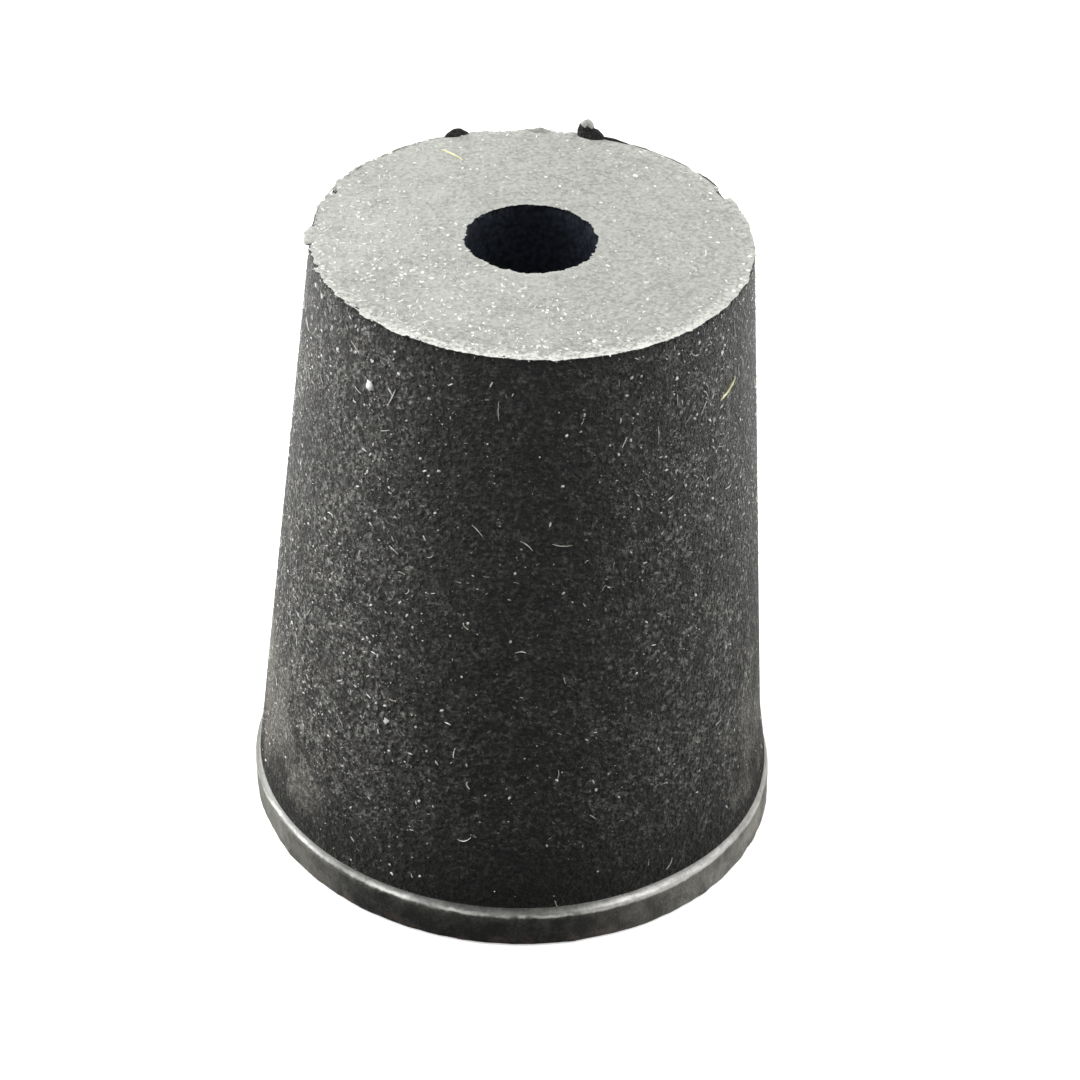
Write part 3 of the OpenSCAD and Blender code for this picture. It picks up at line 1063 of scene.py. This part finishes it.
# The photograph's camera, found from the outlines of both ends
IMAGE_PX = 1080
FOCAL_PX = 3414.5
CAMERA_DISTANCE = 130.39 * MM
ELEVATION, ROLL, PAN, TILT = (math.radians(a) for a in (35.523, 2.2157, 0.3218, 0.3269))


class STOPPER_OT_stage(bpy.types.Operator):
    """Makes the pale floor, the studio lamps and the camera"""

    bl_idname = "stopper.stage"
    bl_label = "Stage"

    def place(self, name, data):
        """Puts an object of the stage in the scene."""
        made = bpy.data.objects.new(name, data)
        bpy.context.scene.collection.objects.link(made)
        return made

    def floor(self):
        """Pale floor: white to the camera where it is lit, with the stopper's shadow on it; to reflections it
        is dark near the stopper, a painted shadow, and to other light it is dim.
        """
        shape = bmesh.new()
        bmesh.ops.create_grid(shape, x_segments=1, y_segments=1, size=1.5)
        mesh = bpy.data.meshes.new("floor")
        shape.to_mesh(mesh)
        shape.free()
        n = Finish("pale_floor", 0.9, 0.0)
        seen = n.add("ShaderNodeLightPath")
        away = n.add("ShaderNodeVectorMath", {0: n.place()}, operation="LENGTH")["Value"]
        # Painted shade: to reflections the floor is dark near the stopper and pale further off; to bounce
        # light it is dim everywhere.
        mirrored = n.times(seen["Is Glossy Ray"], n.ramp(away, 0.011, 0.05))
        shown = n.most(seen["Is Camera Ray"], mirrored)
        n.shows("Base Color", n.mix(shown, shaded(WHITE, 0.12), shaded(WHITE, 0.85)))
        n.shader.inputs["Emission Color"].default_value = WHITE
        n.shows("Emission Strength", n.times(seen["Is Camera Ray"], 0.5))
        mesh.materials.append(n.material)
        floor = self.place("floor", mesh)

    def world(self):
        """White to the camera, a dim even light to everything else."""
        world = bpy.data.worlds.new("studio")
        world.use_nodes = True
        n = Nodes(world.node_tree)
        sky = n.tree.nodes["Background"].inputs
        sky["Color"].default_value = WHITE
        n.feed(sky["Strength"], n.ramp(n.add("ShaderNodeLightPath")["Is Camera Ray"], 0.0, 1.0, 0.15, 1.0))
        bpy.context.scene.world = world

    def lamp(self, name, place, along, size, power):
        """One soft rectangular lamp that looks at the stopper, its long side laid along a direction."""
        light = bpy.data.lights.new(name, "AREA")
        light.shape = "RECTANGLE"
        light.size, light.size_y = size
        light.energy = power
        back = (Vector(place) - LAMP_AIM).normalized()
        side = (Vector(along) - back * back.dot(Vector(along))).normalized()
        pose = Matrix((side, back.cross(side), back)).transposed().to_4x4()
        pose.translation = place
        self.place(name, light).matrix_world = pose

    def camera(self, sizes):
        """Camera at the photograph's viewing angle."""
        look = Vector((0.0, math.cos(ELEVATION), -math.sin(ELEVATION)))
        right = Vector((1.0, 0.0, 0.0))
        level = Matrix((right, look.cross(right), look))
        turns = Matrix.Rotation(TILT, 3, "X") @ Matrix.Rotation(-PAN, 3, "Y") @ Matrix.Rotation(ROLL, 3, "Z")
        axes = turns @ level
        pose = Matrix((axes[0], -axes[1], -axes[2])).transposed().to_4x4()
        pose.translation = UP * sizes.height / 2 - look * CAMERA_DISTANCE
        lens = bpy.data.cameras.new("camera")
        lens.sensor_width = 36.0
        lens.lens = FOCAL_PX / IMAGE_PX * lens.sensor_width
        lens.clip_start = 0.005
        camera = self.place("camera", lens)
        camera.matrix_world = pose
        bpy.context.scene.camera = camera

    def execute(self, context):
        self.floor()
        self.world()
        for name, values in LAMPS.items():
            self.lamp(name, *values)
        self.camera(context.scene.stopper_sizes)
        context.scene.view_settings.view_transform = "Standard"
        return {"FINISHED"}


PIECE_OPERATORS = (STOPPER_OT_body, STOPPER_OT_flash, STOPPER_OT_dust, STOPPER_OT_lint, STOPPER_OT_marks,
                   STOPPER_OT_stage)


class STOPPER_PT_panel(bpy.types.Panel):
    """Lists the stopper's settings and the steps that build it"""

    bl_idname = "STOPPER_PT_panel"
    bl_label = "Rubber stopper"
    bl_space_type = "VIEW_3D"
    bl_region_type = "UI"
    bl_category = "Stopper"

    def draw(self, context):
        for group in (context.scene.stopper_sizes, context.scene.stopper_wear, context.scene.stopper_colours):
            box = self.layout.box()
            for name in group.__annotations__:
                box.prop(group, name)
        for operator in PIECE_OPERATORS:
            self.layout.operator(operator.bl_idname)


CLASSES = (StopperSizes, StopperWear, StopperColours) + PIECE_OPERATORS + (STOPPER_PT_panel,)


def register():
    for cls in CLASSES:
        bpy.utils.register_class(cls)
    bpy.types.Scene.stopper_sizes = bpy.props.PointerProperty(type=StopperSizes)
    bpy.types.Scene.stopper_wear = bpy.props.PointerProperty(type=StopperWear)
    bpy.types.Scene.stopper_colours = bpy.props.PointerProperty(type=StopperColours)


def unregister():
    del bpy.types.Scene.stopper_colours
    del bpy.types.Scene.stopper_wear
    del bpy.types.Scene.stopper_sizes
    for cls in reversed(CLASSES):
        bpy.utils.unregister_class(cls)


def main():
    register()
    bpy.ops.stopper.body()
    bpy.ops.stopper.flash()
    bpy.ops.stopper.dust()
    bpy.ops.stopper.lint()
    bpy.ops.stopper.marks()
    bpy.ops.stopper.stage()
    bpy.context.view_layer.update()


if __name__ == "__main__":
    main()
